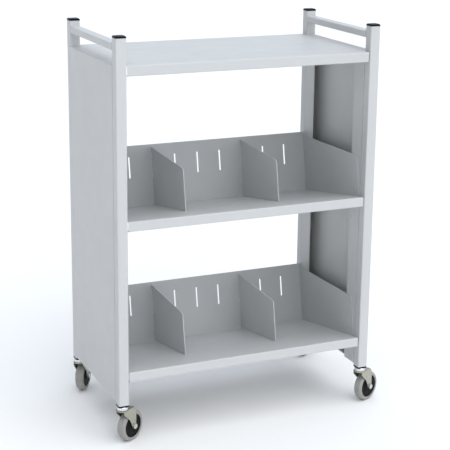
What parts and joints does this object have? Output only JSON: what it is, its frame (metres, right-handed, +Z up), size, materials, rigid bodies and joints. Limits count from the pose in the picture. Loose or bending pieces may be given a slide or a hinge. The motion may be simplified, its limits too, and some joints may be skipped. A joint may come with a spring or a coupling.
{
  "type": "book cart",
  "caption": "Mobile steel book cart with square-tube posts, closed sides, a flat top shelf, two sloping slotted trays with pull-out dividers, push bars and swivel casters.",
  "frame": {"origin": "on the floor, under the middle of the box that the whole cart fills with its casters as stored", "axes": "+X towards the cart's right side, +Y towards its back, +Z up"},
  "size_m": [0.7139, 0.3996, 0.9635],
  "materials": {
    "powder_coat": "light grey powder coat, fine orange peel",
    "rivet": "painted blind rivets",
    "cap_plastic": "moulded black, slight gloss",
    "socket_plastic": "moulded black",
    "fork_zinc": "zinc-plated pressing",
    "stem_steel": "bright plated",
    "fastener_steel": "zinc-plated",
    "ball_steel": "polished, greased",
    "core_plastic": "moulded black",
    "tyre_rubber": "grey non-marking rubber"
  },
  "bodies": {
    "frame": {"post_front_left": "powder_coat", "cap_front_left": "cap_plastic", "post_front_right": "powder_coat", "cap_front_right": "cap_plastic", "post_rear_left": "powder_coat", "cap_rear_left": "cap_plastic", "post_rear_right": "powder_coat", "cap_rear_right": "cap_plastic", "push_bar_left": "powder_coat", "side_panel_left": "powder_coat", "push_bar_right": "powder_coat", "side_panel_right": "powder_coat", "top_shelf": "powder_coat", "middle_tray": "powder_coat", "bottom_tray": "powder_coat", "top_shelf_rivets": "rivet", "middle_tray_rivets": "rivet", "bottom_tray_rivets": "rivet", "socket_front_left": "socket_plastic", "stem_front_left": "stem_steel", "balls_front_left": "ball_steel", "socket_front_right": "socket_plastic", "stem_front_right": "stem_steel", "balls_front_right": "ball_steel", "socket_rear_left": "socket_plastic", "stem_rear_left": "stem_steel", "balls_rear_left": "ball_steel", "socket_rear_right": "socket_plastic", "stem_rear_right": "stem_steel", "balls_rear_right": "ball_steel"},
    "swivel_front_left": {"fork_front_left": "fork_zinc", "axle_front_left": "fastener_steel", "nut_front_left": "fastener_steel", "bush_front_left": "fastener_steel"},
    "wheel_front_left": {"core_front_left": "core_plastic", "tyre_front_left": "tyre_rubber"},
    "swivel_front_right": {"fork_front_right": "fork_zinc", "axle_front_right": "fastener_steel", "nut_front_right": "fastener_steel", "bush_front_right": "fastener_steel"},
    "wheel_front_right": {"core_front_right": "core_plastic", "tyre_front_right": "tyre_rubber"},
    "swivel_rear_left": {"fork_rear_left": "fork_zinc", "axle_rear_left": "fastener_steel", "nut_rear_left": "fastener_steel", "bush_rear_left": "fastener_steel"},
    "wheel_rear_left": {"core_rear_left": "core_plastic", "tyre_rear_left": "tyre_rubber"},
    "swivel_rear_right": {"fork_rear_right": "fork_zinc", "axle_rear_right": "fastener_steel", "nut_rear_right": "fastener_steel", "bush_rear_right": "fastener_steel"},
    "wheel_rear_right": {"core_rear_right": "core_plastic", "tyre_rear_right": "tyre_rubber"},
    "middle_divider_left": {"middle_divider_left": "powder_coat"},
    "middle_divider_right": {"middle_divider_right": "powder_coat"},
    "bottom_divider_left": {"bottom_divider_left": "powder_coat"},
    "bottom_divider_right": {"bottom_divider_right": "powder_coat"}
  },
  "joints": [
    {"name": "swivel_turn_front_left", "type": "hinge", "parent": "frame", "child": "swivel_front_left", "pos_m": [-0.34087, -0.18372, 0.088], "axis": [0, 0, 1], "continuous": true},
    {"name": "wheel_spin_front_left", "type": "hinge", "parent": "swivel_front_left", "child": "wheel_front_left", "pos_m": [-0.31773, -0.16982, 0.0375], "axis": [0.515, -0.8572, 0], "continuous": true},
    {"name": "swivel_turn_front_right", "type": "hinge", "parent": "frame", "child": "swivel_front_right", "pos_m": [0.29573, -0.18372, 0.088], "axis": [0, 0, 1], "continuous": true},
    {"name": "wheel_spin_front_right", "type": "hinge", "parent": "swivel_front_right", "child": "wheel_front_right", "pos_m": [0.32039, -0.17274, 0.0375], "axis": [0.4067, -0.9135, 0], "continuous": true},
    {"name": "swivel_turn_rear_left", "type": "hinge", "parent": "frame", "child": "swivel_rear_left", "pos_m": [-0.34087, 0.14388, 0.088], "axis": [0, 0, 1], "continuous": true},
    {"name": "wheel_spin_rear_left", "type": "hinge", "parent": "swivel_rear_left", "child": "wheel_rear_left", "pos_m": [-0.325, 0.16572, 0.0375], "axis": [0.809, -0.5878, 0], "continuous": true},
    {"name": "swivel_turn_rear_right", "type": "hinge", "parent": "frame", "child": "swivel_rear_right", "pos_m": [0.29573, 0.14388, 0.088], "axis": [0, 0, 1], "continuous": true},
    {"name": "wheel_spin_rear_right", "type": "hinge", "parent": "swivel_rear_right", "child": "wheel_rear_right", "pos_m": [0.31641, 0.16123, 0.0375], "axis": [0.6428, -0.766, 0], "continuous": true},
    {"name": "middle_divider_left_pull", "type": "slide", "parent": "frame", "child": "middle_divider_left", "axis": [0, -0.9848, 0.1736], "range_m": [0, 0.345]},
    {"name": "middle_divider_right_pull", "type": "slide", "parent": "frame", "child": "middle_divider_right", "axis": [0, -0.9848, 0.1736], "range_m": [0, 0.345]},
    {"name": "bottom_divider_left_pull", "type": "slide", "parent": "frame", "child": "bottom_divider_left", "axis": [0, -0.9848, 0.1736], "range_m": [0, 0.345]},
    {"name": "bottom_divider_right_pull", "type": "slide", "parent": "frame", "child": "bottom_divider_right", "axis": [0, -0.9848, 0.1736], "range_m": [0, 0.345]}
  ]
}
